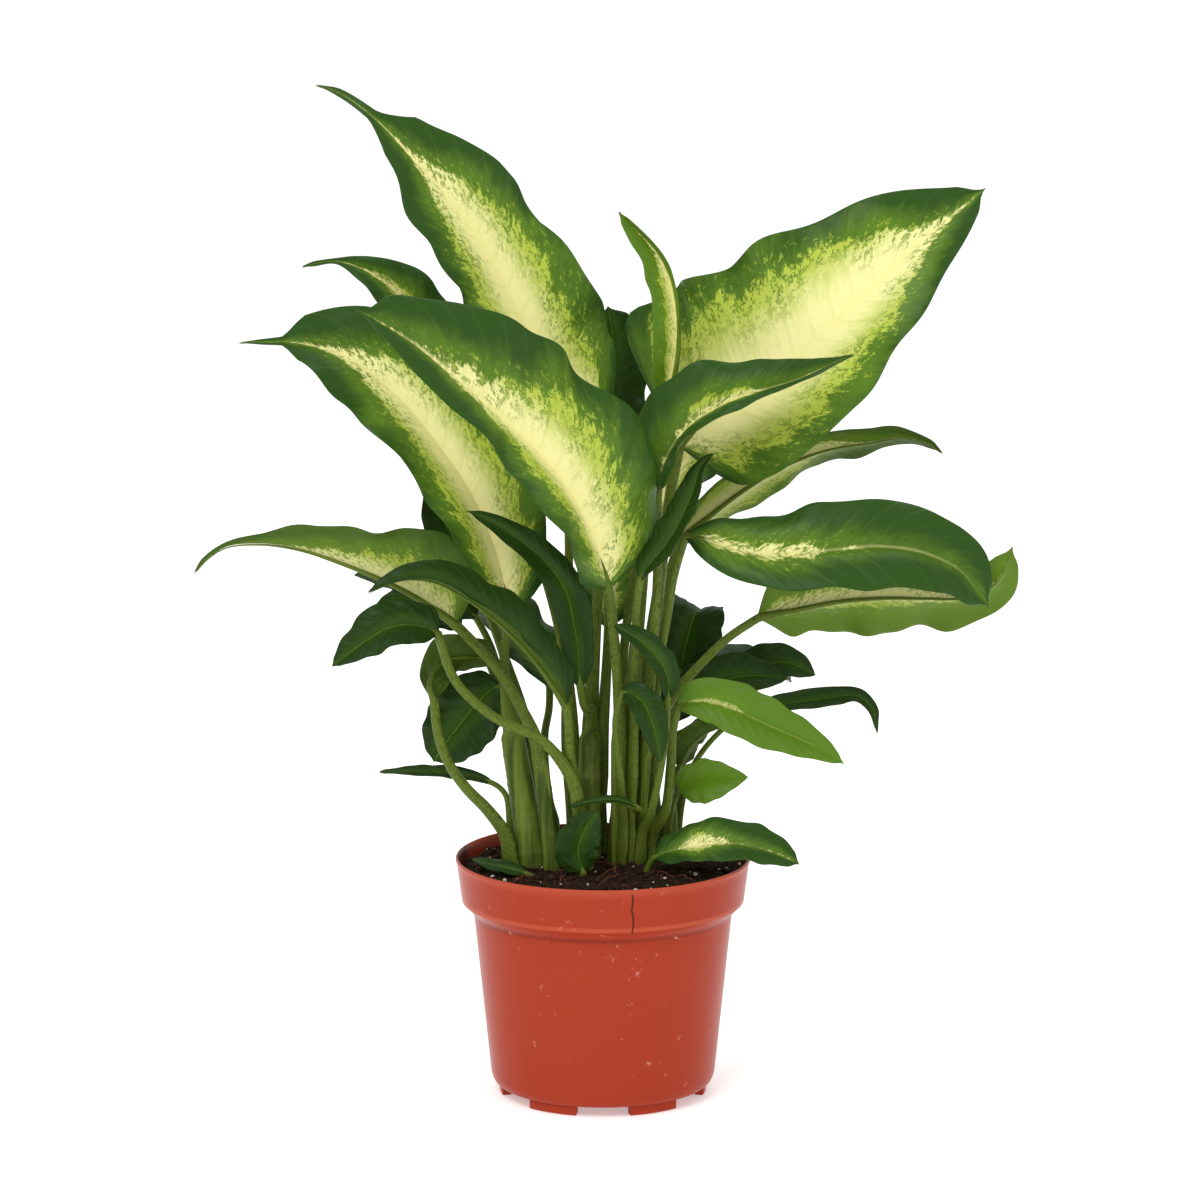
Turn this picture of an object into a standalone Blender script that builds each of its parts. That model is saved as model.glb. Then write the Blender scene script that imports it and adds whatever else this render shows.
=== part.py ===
"""Potted dieffenbachia: a plastic nursery pot, its soil, six canes and every leaf as a piece of its own.

Lengths in the tables are millimetres, turned into metres by MM. The pot stands on z = 0 with its axis
on the z axis, and the fullest side of the plant faces -Y.
"""
import math

import bmesh
import bpy
from mathutils import Vector

MM = 0.001
GAP = 0.35                       # clearance left between pieces that touch

# pot
POT_HEIGHT = 98.0
RIM_RADIUS = 60.0                # outside of the rim band at the lip
BAND_LOW_RADIUS = 57.4           # outside of the rim band at its lower edge
BAND_LOW_Z = 80.0
NECK_RADIUS = 52.6               # outside of the wall just under the band
NECK_Z = 74.5
HEEL_RADIUS = 45.8               # outside of the wall where it rounds into the floor
HEEL_Z = 9.0
FLOOR_RADIUS = 43.0
FLOOR_Z = 4.0                    # underside of the floor
WALL = 1.6
FOOT_COUNT = 6
FOOT_RADIUS = 42.5               # outside of the broken ring of feet
FOOT_ARC = 30.0                  # degrees of the ring that one foot spans
FOOT_WIDTH = 5.0
SOIL_TOP = 92.0

# leaves
RING = 10                        # points round every cross-section
SPREAD = (-1.0, -0.55, 0.0, 0.55, 1.0)
BLADE_STATIONS = (0.0, 0.06, 0.16, 0.30, 0.45, 0.60, 0.74, 0.86, 0.95, 1.0)
STALK_STATIONS = 6
RIB_THICKNESS = 2.2              # blade thickness along the midrib at the base
TIP_THICKNESS = 0.9
EDGE_THICKNESS = 0.7


# ---------------------------------------------------------------- scene helpers
def collection(name):
    group = bpy.data.collections.new(name)
    bpy.context.scene.collection.children.link(group)
    return group


def material(name, colour, roughness, metallic=0.0):
    mat = bpy.data.materials.new(name)
    mat.use_nodes = True
    shader = mat.node_tree.nodes["Principled BSDF"]
    shader.inputs["Base Color"].default_value = (*colour, 1.0)
    shader.inputs["Roughness"].default_value = roughness
    shader.inputs["Metallic"].default_value = metallic
    mat.diffuse_color = (*colour, 1.0)
    return mat


def add_object(name, mesh, group, mat=None):
    obj = bpy.data.objects.new(name, mesh)
    group.objects.link(obj)
    if mat:
        mesh.materials.clear()
        mesh.materials.append(mat)
    return obj


def turned(name, profile, group, mat, steps=48):
    """A closed profile of (radius, z) in millimetres, turned about the z axis with a Screw."""
    mesh = bpy.data.meshes.new(name)
    bm = bmesh.new()
    points = [bm.verts.new((r * MM, 0.0, z * MM)) for r, z in profile]
    for a, b in zip(points, points[1:]):
        bm.edges.new((a, b))
    bm.to_mesh(mesh)
    bm.free()
    obj = add_object(name, mesh, group, mat)
    screw = obj.modifiers.new("turn", "SCREW")
    screw.axis = "Z"
    screw.angle = math.tau
    screw.steps = screw.render_steps = steps
    screw.use_merge_vertices = True
    screw.merge_threshold = 0.00005
    return obj


def bake(obj):
    """Replaces the object's mesh with the evaluated one and drops its modifiers."""
    graph = bpy.context.evaluated_depsgraph_get()
    mesh = bpy.data.meshes.new_from_object(obj.evaluated_get(graph))
    mats = list(obj.data.materials)
    obj.modifiers.clear()
    obj.data = mesh
    mesh.name = obj.name
    mesh.materials.clear()
    for mat in mats:
        mesh.materials.append(mat)
    return obj


def cut(target, cutter, operation):
    boolean = target.modifiers.new(operation.lower(), "BOOLEAN")
    boolean.operation = operation
    boolean.solver = "EXACT"
    boolean.object = cutter
    bake(target)


# ---------------------------------------------------------------- pot and soil
def make_foot(index, group):
    """One segment of the broken ring under the floor, reaching up into the floor's thickness."""
    steps = 5
    middle = math.radians(-90.0 + 360.0 / FOOT_COUNT * (index + 0.5))
    half = math.radians(FOOT_ARC / 2)
    bm = bmesh.new()
    outline = []
    for radius, order in ((FOOT_RADIUS, 1), (FOOT_RADIUS - FOOT_WIDTH, -1)):
        angles = [middle - half + 2 * half * i / steps for i in range(steps + 1)][::order]
        outline += [bm.verts.new((radius * MM * math.cos(a), radius * MM * math.sin(a), 0.0)) for a in angles]
    face = bm.faces.new(outline)
    lifted = bmesh.ops.extrude_face_region(bm, geom=[face])
    top = [v for v in lifted["geom"] if isinstance(v, bmesh.types.BMVert)]
    bmesh.ops.translate(bm, verts=top, vec=(0.0, 0.0, (FLOOR_Z + WALL / 2) * MM))
    bmesh.ops.recalc_face_normals(bm, faces=bm.faces)
    mesh = bpy.data.meshes.new("foot")
    bm.to_mesh(mesh)
    bm.free()
    foot = add_object("foot_%d" % index, mesh, group)
    foot.hide_render = True
    foot.display_type = "WIRE"
    return foot


def make_pot(group, cutters, mat):
    inner_floor = FLOOR_Z + WALL
    profile = [
        (0.0, inner_floor), (HEEL_RADIUS - WALL - 3.0, inner_floor), (HEEL_RADIUS - WALL, HEEL_Z),
        (NECK_RADIUS - WALL, NECK_Z), (BAND_LOW_RADIUS - WALL, BAND_LOW_Z + 1.5),
        (RIM_RADIUS - WALL - 0.4, POT_HEIGHT - 0.6), (RIM_RADIUS - WALL / 2 - 0.2, POT_HEIGHT),
        (RIM_RADIUS, POT_HEIGHT - 0.8), (BAND_LOW_RADIUS + 0.3, BAND_LOW_Z + 1.0),
        (BAND_LOW_RADIUS - 0.6, BAND_LOW_Z), (NECK_RADIUS, NECK_Z),
        (HEEL_RADIUS, HEEL_Z), (HEEL_RADIUS - 0.9, HEEL_Z - 3.0), (FLOOR_RADIUS, FLOOR_Z), (0.0, FLOOR_Z),
    ]
    pot = bake(turned("pot", profile[::-1], group, mat))
    for index in range(FOOT_COUNT):
        cut(pot, make_foot(index, cutters), "UNION")
    return pot


def make_soil(group, mat):
    inner_floor = FLOOR_Z + WALL
    profile = [
        (0.0, SOIL_TOP), (BAND_LOW_RADIUS - WALL + 1.0, SOIL_TOP),
        (BAND_LOW_RADIUS - WALL - GAP, BAND_LOW_Z + 2.5), (NECK_RADIUS - WALL - GAP, NECK_Z),
        (HEEL_RADIUS - WALL - GAP, HEEL_Z + 0.2), (HEEL_RADIUS - WALL - 3.5, inner_floor + GAP),
        (0.0, inner_floor + GAP),
    ]
    return bake(turned("soil", profile, group, mat, steps=36))


# ---------------------------------------------------------------- canes
# base (x, y), tip (x, y, z), radius at the base and at the tip
CANES = {
    "stem_left": ((-28.5, -6), (-37, -4, 152), 6.0, 4.8),
    "stem_left_back": ((-22, 20), (-33, 25, 148), 5.0, 4.0),
    "stem_middle_front": ((-20, -15), (-25, -14, 138), 3.8, 3.2),
    "stem_middle_back": ((-6, -1), (-5, 2, 150), 5.5, 4.6),
    "stem_right": ((9, 0), (12, 0, 165), 7.5, 5.6),
    "stem_right_back": ((25, 16), (26, 18, 108), 3.6, 3.0),
}
CANE_FOOT = SOIL_TOP + GAP
CANE_BEND = 8.0                  # the first stretch rises straight out of the soil


def cane_point(name, z):
    """Axis point and radius of a cane at a height."""
    base, tip, wide, thin = CANES[name]
    t = max(0.0, (z - CANE_FOOT - CANE_BEND) / (tip[2] - CANE_FOOT - CANE_BEND))
    radius = wide + (thin - wide) * t
    return Vector((base[0] + (tip[0] - base[0]) * t, base[1] + (tip[1] - base[1]) * t, z)), radius


def side_of(name, z, degrees, radius):
    """Two points that lead a leaf stalk up along a cane: 0 is +X, 90 the back, -90 the front."""
    out = Vector((math.cos(math.radians(degrees)), math.sin(math.radians(degrees)), 0.0))
    points = []
    for height in (z, z + 9.0):
        axis, thick = cane_point(name, height)
        points.append(axis + out * (thick + radius + GAP))
    return points


def top_of(name):
    """Two points that carry a leaf stalk straight on from a cane's tip."""
    tip = Vector(CANES[name][1])
    axis, _ = cane_point(name, tip.z - 10.0)
    along = (tip - axis).normalized()
    return [tip + along * GAP, tip + along * 8.0]


def make_cane(name, group, mat):
    _, tip, _, _ = CANES[name]
    curve = bpy.data.curves.new(name, "CURVE")
    curve.dimensions = "3D"
    curve.bevel_depth = MM
    curve.bevel_resolution = 2
    curve.use_fill_caps = True
    heights = (CANE_FOOT, CANE_FOOT + CANE_BEND, (CANE_FOOT + tip[2]) / 2, tip[2])
    spline = curve.splines.new("POLY")
    spline.points.add(len(heights) - 1)
    for point, z in zip(spline.points, heights):
        axis, radius = cane_point(name, z)
        point.co = (*(axis * MM), 1.0)
        point.radius = radius
    rough = bpy.data.objects.new(name, curve)
    group.objects.link(rough)
    mesh = bpy.data.meshes.new_from_object(rough.evaluated_get(bpy.context.evaluated_depsgraph_get()))
    bpy.data.objects.remove(rough)
    bm = bmesh.new()
    bm.from_mesh(mesh)
    bmesh.ops.remove_doubles(bm, verts=bm.verts, dist=0.00001)
    bmesh.ops.recalc_face_normals(bm, faces=bm.faces)
    bm.to_mesh(mesh)
    bm.free()
    return add_object(name, mesh, group, mat)


# ---------------------------------------------------------------- leaves
def spline(points, count=16):
    """A centripetal Catmull-Rom curve through the points, with the index of each given point."""
    ends = [points[0] * 2 - points[1], *points, points[-1] * 2 - points[-2]]
    curve, marks = [], []
    for p0, p1, p2, p3 in zip(ends, ends[1:], ends[2:], ends[3:]):
        t1 = (p1 - p0).length ** 0.5
        t2 = t1 + (p2 - p1).length ** 0.5
        t3 = t2 + (p3 - p2).length ** 0.5
        marks.append(len(curve))
        for i in range(count):
            t = t1 + (t2 - t1) * i / count
            a1 = p0.lerp(p1, t / t1)
            a2 = p1.lerp(p2, (t - t1) / (t2 - t1))
            a3 = p2.lerp(p3, (t - t2) / (t3 - t2))
            curve.append(a1.lerp(a2, t / t2).lerp(a2.lerp(a3, (t - t1) / (t3 - t1)), (t - t1) / (t2 - t1)))
    marks.append(len(curve))
    curve.append(points[-1].copy())
    return curve, marks


def along(curve, fractions):
    """Points and directions at fractions of a curve's length."""
    lengths = [0.0]
    for a, b in zip(curve, curve[1:]):
        lengths.append(lengths[-1] + (b - a).length)
    found = []
    for fraction in fractions:
        want = fraction * lengths[-1]
        k = next((i for i in range(len(curve) - 2) if lengths[i + 1] >= want), len(curve) - 2)
        t = (want - lengths[k]) / (lengths[k + 1] - lengths[k])
        near, far = curve[max(0, k - 1)], curve[min(len(curve) - 1, k + 2)]
        found.append((curve[k].lerp(curve[k + 1], t), (far - near).normalized()))
    return found


def upright(face, tangent):
    """The part of the facing direction square to the tangent."""
    return (face - tangent * face.dot(tangent)).normalized()


def outline(s, peak, rise, tail):
    """Half width of a blade as a share of its widest.

    peak is where the blade is widest, a small rise makes the base blunt, and tail is the share of the
    length that is drawn out into a thread.
    """
    body = 1.0 - tail
    if s >= body:
        return 0.10 * (1.0 - s) / max(tail, 0.05) + 0.03
    t = s / body
    fall = rise * (1.0 - peak) / peak
    full = (t / peak) ** rise * ((1.0 - t) / (1.0 - peak)) ** fall
    return max(full, 0.13 if tail else 0.04)


def make_leaf(group, mat, name, stalk, rib, width, face, fold=(22, 18), peak=0.38, rise=0.5, tail=0.0,
              thick=(2.2, 1.7)):
    """One leaf: a round stalk that flattens into a folded, tapering blade.

    stalk and rib are points along the middle; width gives the left and right half widths seen from
    above with the tip away; face is where the upper side looks, from the base to the tip; fold lifts
    both halves above the midrib, in degrees at the base and at the tip.
    """
    stalk = [Vector(p) for p in stalk]
    rib = [Vector(p) for p in rib]
    curve, marks = spline(stalk + rib)
    root = marks[len(stalk)]
    blade = along(curve[root:], BLADE_STATIONS)
    stem = along(curve[:root + 1], [i / STALK_STATIONS for i in range(STALK_STATIONS)])
    faces = [Vector(f).normalized() for f in face]
    facing = upright(faces[0], blade[0][1])
    frames = []
    for point, tangent in reversed(stem):
        facing = upright(facing, tangent)
        frames.insert(0, (point, tangent, facing))
    bm = bmesh.new()
    rings = []
    for i, (point, tangent, normal) in enumerate(frames):
        radius = thick[0] + (thick[1] - thick[0]) * i / STALK_STATIONS
        side = tangent.cross(normal)
        turn = [math.radians(162 - 36 * k) for k in range(5)] + [math.radians(-18 - 36 * k) for k in range(5)]
        rings.append([point + side * radius * math.cos(a) + normal * radius * math.sin(a) for a in turn])
    for s, (point, tangent) in zip(BLADE_STATIONS, blade):
        k = s * (len(faces) - 1)
        low = min(int(k), len(faces) - 2)
        normal = upright(faces[low].lerp(faces[low + 1], k - low), tangent)
        side = tangent.cross(normal)
        lift = math.radians(fold[0] + (fold[1] - fold[0]) * s)
        share = outline(s, peak, rise, tail)
        middle = (RIB_THICKNESS + (TIP_THICKNESS - RIB_THICKNESS) * min(1.0, s * 1.6)) / 2
        top, under = [], []
        for u in SPREAD:
            half = max(width[0 if u < 0 else 1] * share, 1.1)
            centre = point + side * u * half * math.cos(lift) + normal * abs(u) * half * math.sin(lift)
            depth = middle + (EDGE_THICKNESS / 2 - middle) * abs(u) ** 0.6
            top.append(centre + normal * depth)
            under.append(centre - normal * depth)
        rings.append(top + under[::-1])
    loops = [[bm.verts.new(p * MM) for p in ring] for ring in rings]
    for low, high in zip(loops, loops[1:]):
        for k in range(RING):
            n = (k + 1) % RING
            bm.faces.new((low[k], low[n], high[n], high[k]))
    bm.faces.new(loops[0][::-1])
    bm.faces.new(loops[-1])
    bmesh.ops.recalc_face_normals(bm, faces=bm.faces)
    bmesh.ops.triangulate(bm, faces=bm.faces)
    mesh = bpy.data.meshes.new(name)
    bm.to_mesh(mesh)
    bm.free()
    return add_object(name, mesh, group, mat)


def upper_leaves(leaf):
    """The big variegated blades that crown the plant."""
    leaf("leaf_top_left", side_of("stem_middle_back", 120, 95, 2.4) + [(-3, 14, 190), (1, 16, 240)],
         [(0, 14, 276), (-22, 13, 295), (-30, 9, 312), (-45, 3, 342), (-66, -6, 373), (-88, -12, 397),
          (-100, -8, 407), (-114, -2, 412)],
         (25, 28), [(0.1, -1, 0.3), (0.3, -1, 0.3), (0.5, -0.8, 0.4)], peak=0.3, tail=0.15, thick=(2.4, 2.0))
    leaf("leaf_upper_right", side_of("stem_right", 148, 60, 2.6) + [(22, 18, 200), (27, 19, 240)],
         [(31, 16, 264), (63, 12, 288), (79, 10, 303), (99, 10, 322), (119, 12, 341), (141, 18, 358),
          (154, 24, 368)],
         (47, 34), [(-0.2, -1, 0.35), (0, -1, 0.35)], fold=(15, 12), peak=0.3, rise=0.38, thick=(2.6, 2.2))
    leaf("leaf_front_centre", side_of("stem_right", 146, -120, 2.4) + [(5, -15, 185)],
         [(2, -18, 212), (-5, -32, 238), (-17, -48, 262), (-32, -62, 281), (-48, -74, 297), (-63, -84, 312),
          (-78, -92, 325), (-94, -98, 335)],
         (21, 34), [(0.4, -0.8, 0.35), (0.4, -0.7, 0.6)], peak=0.38, rise=0.38, thick=(2.4, 2.0))
    leaf("leaf_left_big", top_of("stem_left") + [(-40, -4, 180)],
         [(-38, -4, 198), (-40, -5, 212), (-46, -7, 234), (-58, -9, 258), (-74, -11, 279), (-90, -12, 297),
          (-106, -12, 306), (-120, -12, 310), (-145, -10, 310)],
         (20, 25), [(0.4, -1, 0.3), (0.2, -0.8, 0.5)], peak=0.45, rise=0.42, tail=0.12)
    leaf("leaf_young_spear", top_of("stem_right") + [(15, 4, 200), (20, 1, 250)],
         [(25, -2, 284), (29, -2, 303), (29, -2, 324), (24, -1, 341), (15, 0, 352), (6, 2, 361)],
         (10, 10), [(-0.6, -0.8, 0.1), (-0.6, -0.8, 0.1)], fold=(50, 45), peak=0.42)
    leaf("leaf_right_curled", side_of("stem_right", 140, -45, 2.0) + [(20, -12, 185), (22, -11, 222)],
         [(22, -15, 252), (27, -20, 268), (37, -25, 281), (54, -25, 290), (74, -24, 296), (87, -20, 301),
          (100, -14, 306)],
         (21, 15), [(-0.4, -0.7, 0.7), (-0.2, -0.6, 0.8)], fold=(32, 30), peak=0.25, rise=0.4, thick=(2.0, 1.8))
    leaf("leaf_right_narrow", side_of("stem_right", 132, -80, 1.8) + [(13, -17, 190)],
         [(15, -20, 216), (25, -25, 231), (31, -27, 242), (36, -27, 254), (39, -26, 263), (44, -25, 268)],
         (8, 8), [(-0.5, -0.7, 0.6), (-0.5, -0.7, 0.6)], thick=(1.8, 1.5))
    leaf("leaf_right_back", side_of("stem_right", 130, 92, 2.2) + [(20, 30, 180), (26, 40, 203)],
         [(31, 45, 219), (39, 48, 227), (55, 52, 239), (71, 54, 249), (92, 55, 257), (112, 56, 260),
          (130, 56, 261), (140, 54, 255)],
         (18, 9), [(0.3, 0.7, 0.6), (0, 0.7, 0.6)])
    leaf("leaf_back_left", side_of("stem_middle_back", 128, 155, 1.8) + [(-18, 16, 190), (-36, 26, 240)],
         [(-53, 34, 279), (-61, 35, 295), (-71, 35, 309), (-81, 35, 321), (-89, 35, 329), (-100, 34, 335),
          (-109, 34, 337), (-122, 33, 335)],
         (10, 10), [(0.1, -0.9, 0.4), (0, -0.8, 0.6)], peak=0.5, tail=0.2, thick=(1.8, 1.5))
    leaf("leaf_back_top", side_of("stem_middle_back", 130, 50, 1.8) + [(2, 26, 185), (1, 36, 225)],
         [(0, 40, 252), (2, 43, 270), (4, 45, 288), (4, 47, 304), (2, 48, 317)],
         (15, 15), [(0, -1, 0.2), (0, -1, 0.2)], peak=0.5, thick=(1.8, 1.5))


def middle_leaves(leaf):
    """Level and arching blades at half height, on both sides."""
    leaf("leaf_right_level", side_of("stem_right", 128, -10, 2.2) + [(22, -5, 175), (27, -8, 205)],
         [(33, -11, 232), (43, -14, 231), (55, -16, 227), (79, -18, 226), (104, -18, 229), (124, -16, 227),
          (141, -14, 220), (155, -12, 203)],
         (16, 17), [(0, -0.8, 0.6), (0, -0.8, 0.6), (0.5, -0.8, 0.5)], fold=(12, 10), peak=0.5)
    leaf("leaf_right_under", side_of("stem_right", 120, 25, 2.2) + [(24, 5, 156), (35, 6, 171), (51, 8, 187)],
         [(63, 8, 195), (80, 6, 200), (101, 4, 204), (122, 2, 205), (143, 0, 205), (155, -1, 208),
          (161, -1, 216), (165, 0, 226)],
         (21, 18), [(0, 0.85, 0.5), (0, 0.85, 0.5)], fold=(14, 14), peak=0.36, rise=0.4)
    leaf("leaf_left_level", top_of("stem_middle_front") + [(-31, -13, 158), (-42, -11, 177), (-51, -10, 187)],
         [(-59, -9, 195), (-66, -10, 202), (-82, -14, 213), (-98, -16, 220), (-114, -18, 227),
          (-131, -18, 230), (-147, -16, 230), (-157, -14, 225), (-164, -12, 217)],
         (26, 19), [(0, 0.64, 0.77), (0, 0.5, 0.85)], fold=(36, 26), peak=0.18, rise=0.45, thick=(2.4, 2.0))
    leaf("leaf_left_arch", side_of("stem_middle_back", 112, -115, 2.0) + [(-13, -20, 143)],
         [(-15, -28, 166), (-23, -33, 182), (-39, -39, 201), (-55, -43, 214), (-69, -46, 221),
          (-81, -48, 221), (-93, -49, 216)],
         (8, 13), [(0.35, -0.35, 0.85), (0.3, -0.35, 0.85)], fold=(40, 30))
    leaf("leaf_centre_spear", top_of("stem_middle_back") + [(-7, -4, 160)],
         [(-9, -9, 170), (-10, -15, 186), (-12, -18, 199), (-17, -21, 216), (-29, -24, 229), (-42, -26, 239),
          (-54, -26, 245)],
         (8, 8), [(0, -1, 0.2), (0.3, -0.8, 0.5)], peak=0.42)
    leaf("leaf_left_dark", [(-7, -19, 92.4), (-7, -19, 98), (-9, -20, 116), (-13, -22, 136), (-23, -24, 150),
                            (-38, -25, 158), (-50, -25, 165), (-58, -25, 174), (-63, -25, 186)],
         [(-66, -26, 195), (-76, -28, 199), (-86, -30, 198), (-96, -31, 192), (-108, -32, 183)],
         (11, 11), [(0, -0.8, 0.6), (-0.2, -0.8, 0.6)], fold=(20, 15), thick=(2.4, 1.8))
    leaf("leaf_left_grey", side_of("stem_left_back", 118, 130, 1.8) + [(-44, 33, 172)],
         [(-52, 34, 190), (-70, 35, 199), (-88, 35, 206), (-102, 34, 208)],
         (11, 11), [(0, -0.6, 0.8), (0, -0.6, 0.8)], thick=(1.8, 1.4))
    leaf("leaf_left_brown", side_of("stem_left_back", 124, -170, 1.6) + [(-48, 15, 178)],
         [(-58, 14, 190), (-70, 14, 197), (-82, 15, 200), (-94, 15, 197)],
         (8, 8), [(0, -0.8, 0.6), (0, -0.8, 0.6)], thick=(1.6, 1.3))
    leaf("leaf_left_hidden", top_of("stem_left_back") + [(-42, 28, 180)],
         [(-50, 32, 200), (-58, 36, 216), (-66, 39, 231), (-72, 40, 246)],
         (12, 12), [(0, -1, 0.3), (0, -1, 0.3)])
    leaf("leaf_left_folded", side_of("stem_left", 95, 195, 2.6)
         + [(-44, -9, 116), (-54, -11, 127), (-63, -13, 141), (-67, -14, 155)],
         [(-68, -13, 166), (-68, -10, 174), (-63, -4, 180), (-53, 0, 181), (-42, 3, 178)],
         (10, 10), [(0.7, 0.7, 0), (0, 0.8, 0.4)], fold=(15, 10), peak=0.45, thick=(2.6, 1.8))
    leaf("leaf_left_broad", side_of("stem_left_back", 112, -135, 1.8) + [(-38, 13, 158)],
         [(-42, 11, 166), (-49, 8, 162), (-56, 6, 154), (-63, 5, 145), (-69, 5, 136)],
         (15, 15), [(-0.1, -1, 0.3), (-0.1, -1, 0.2)], fold=(12, 12), peak=0.45, thick=(1.8, 1.4))
    leaf("leaf_left_spiky", side_of("stem_left", 106, 160, 1.4) + [(-40, 1, 124)],
         [(-46, 3, 128), (-60, 4, 131), (-75, 4, 132), (-91, 4, 132)],
         (3.5, 3.5), [(0, -0.6, 0.8), (0, -0.6, 0.8)], thick=(1.4, 1.1))
    leaf("leaf_centre_arch", side_of("stem_right", 98, -50, 1.6) + [(20, -15, 122), (25, -19, 150)],
         [(26, -21, 168), (26, -24, 176), (22, -26, 185), (14, -27, 193), (4, -28, 199)],
         (6, 6), [(0.3, -0.8, 0.4), (0.2, -0.7, 0.6)], peak=0.45, thick=(1.6, 1.3))
    leaf("leaf_centre_droop", side_of("stem_right", 103, -98, 1.6) + [(7, -15, 135), (5, -19, 158)],
         [(8, -21, 170), (15, -25, 168), (20, -27, 158), (23, -27, 143)],
         (7, 7), [(0.2, -0.9, 0.4), (0.2, -1, 0.1)], thick=(1.6, 1.3))
    leaf("leaf_right_bright", side_of("stem_right", 96, -14, 1.9) + [(25, -8, 118), (28, -11, 142)],
         [(30, -12, 162), (45, -14, 165), (57, -16, 160), (71, -18, 154), (85, -20, 148), (97, -22, 141)],
         (11, 11), [(0, -0.9, 0.5), (0, -1, 0.3)], fold=(16, 14), thick=(1.9, 1.6))
    leaf("leaf_right_tail", side_of("stem_right_back", 96, -5, 1.4) + [(36, 24, 128), (48, 26, 144)],
         [(60, 25, 152), (78, 22, 157), (92, 20, 159), (102, 18, 161), (109, 16, 157), (112, 14, 146)],
         (5, 5), [(0, -0.7, 0.7), (0.3, -0.8, 0.5)], thick=(1.4, 1.1))


def back_leaves(leaf):
    """Leaves low on the far side, and those that fill out the rear of the plant."""
    leaf("leaf_back_round", side_of("stem_right_back", 95, 90, 1.6) + [(28, 33, 130), (30, 40, 150)],
         [(32, 43, 165), (35, 47, 179), (38, 53, 188), (41, 62, 188)],
         (15, 15), [(0, -0.9, 0.4), (0, -0.3, 0.95)], peak=0.5, thick=(1.6, 1.3))
    leaf("leaf_back_dark", top_of("stem_right_back") + [(28, 26, 140)],
         [(31, 30, 156), (45, 31, 163), (60, 33, 166), (76, 36, 164)],
         (11, 11), [(0, -0.8, 0.5), (0, -0.8, 0.5)], thick=(1.6, 1.3))
    leaf("leaf_back_brown", side_of("stem_right_back", 98, 45, 1.4) + [(34, 36, 132), (44, 42, 150)],
         [(52, 44, 160), (64, 45, 167), (76, 46, 169), (88, 48, 163)],
         (9, 9), [(0, -0.8, 0.5), (0, -0.9, 0.3)], thick=(1.4, 1.2))
    leaf("leaf_rear_tall", side_of("stem_middle_back", 96, 125, 2.0) + [(-14, 18, 130), (-15, 27, 170), (-14, 33, 205)],
         [(-14, 38, 228), (-20, 55, 247), (-27, 72, 260), (-34, 86, 265), (-40, 98, 262)],
         (21, 21), [(0, -0.7, 0.7), (0, -0.4, 0.9)])
    leaf("leaf_rear_right", side_of("stem_right", 110, 108, 2.0) + [(7, 22, 150), (10, 30, 190)],
         [(18, 40, 226), (36, 58, 256), (54, 74, 279), (72, 88, 292), (85, 97, 295)],
         (20, 20), [(-0.3, -0.8, 0.5), (-0.2, -0.7, 0.7)])
    leaf("leaf_rear_left", side_of("stem_left_back", 106, 70, 1.9) + [(-24, 34, 140)],
         [(-22, 40, 160), (-36, 56, 178), (-49, 72, 187), (-59, 86, 187), (-66, 96, 181)],
         (16, 16), [(0.3, -0.5, 0.8), (0, -0.3, 0.95)], thick=(1.9, 1.5))
    leaf("leaf_rear_low", side_of("stem_right_back", 97, 135, 1.7) + [(22, 36, 120)],
         [(24, 48, 140), (40, 62, 156), (56, 76, 162), (70, 88, 159), (80, 97, 150)],
         (14, 14), [(-0.2, -0.6, 0.8), (0, -0.3, 0.95)], thick=(1.7, 1.3))
    leaf("leaf_rear_middle", side_of("stem_middle_back", 100, 52, 1.9) + [(-1, 20, 130), (1, 30, 158)],
         [(2, 38, 185), (4, 56, 206), (5, 73, 217), (5, 88, 219), (4, 99, 214)],
         (15, 15), [(0, -0.6, 0.8), (0, -0.3, 0.95)], thick=(1.9, 1.5))


def low_leaves(leaf):
    """Small leaves close to the soil and over the rim."""
    leaf("leaf_right_olive", side_of("stem_right_back", 101, -50, 1.3) + [(28, 9, 124)],
         [(31, 6, 134), (36, 5, 144), (44, 4, 150), (54, 4, 152)],
         (8, 8), [(0, 0.6, 0.8), (0, 0.6, 0.8)], thick=(1.3, 1.1))
    leaf("leaf_right_small", [(26, 8.5, 92.5), (26, 8, 98), (27, 4, 111)],
         [(31, -3, 126), (40, -6, 130), (50, -9, 132), (59, -10, 133)],
         (10, 10), [(0, -1, 0.3), (0, -1, 0.3)], peak=0.45, thick=(1.5, 1.2))
    leaf("leaf_right_rim", [(17, -17, 92.4), (18, -18, 97)],
         [(21, -20, 102), (35, -23, 107), (51, -25, 109), (67, -26, 106), (79, -27, 101)],
         (12, 11), [(0, -0.55, 0.83), (0, -0.6, 0.8)], fold=(10, 10), peak=0.45, thick=(1.5, 1.2))
    leaf("leaf_soil_left", [(-27, -25, 92.7), (-27.4, -25, 94.5)],
         [(-31, -25, 96.5), (-38, -23, 98), (-46, -17, 98.5), (-53, -10, 99)],
         (4, 4), [(0, -0.5, 0.9), (0, -0.5, 0.9)], fold=(8, 8), thick=(1.2, 1.1))
    leaf("leaf_low_upright", [(-8, -28, 92.4), (-8, -28, 94.5)],
         [(-8, -28, 98), (-10, -28, 106), (-8, -28, 114), (-2, -27, 123)],
         (10, 9), [(0, -1, 0.1), (0, -1, 0.1)], peak=0.4, thick=(1.6, 1.4))
    leaf("leaf_low_thin", side_of("stem_right", 109, -74, 1.2) + [(15, -17, 121)],
         [(13, -20, 123), (6, -22, 126), (-4, -24, 126), (-13, -25, 124)],
         (2.2, 2.2), [(0, -0.5, 0.9), (0, -0.5, 0.9)], thick=(1.2, 1.1))


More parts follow.
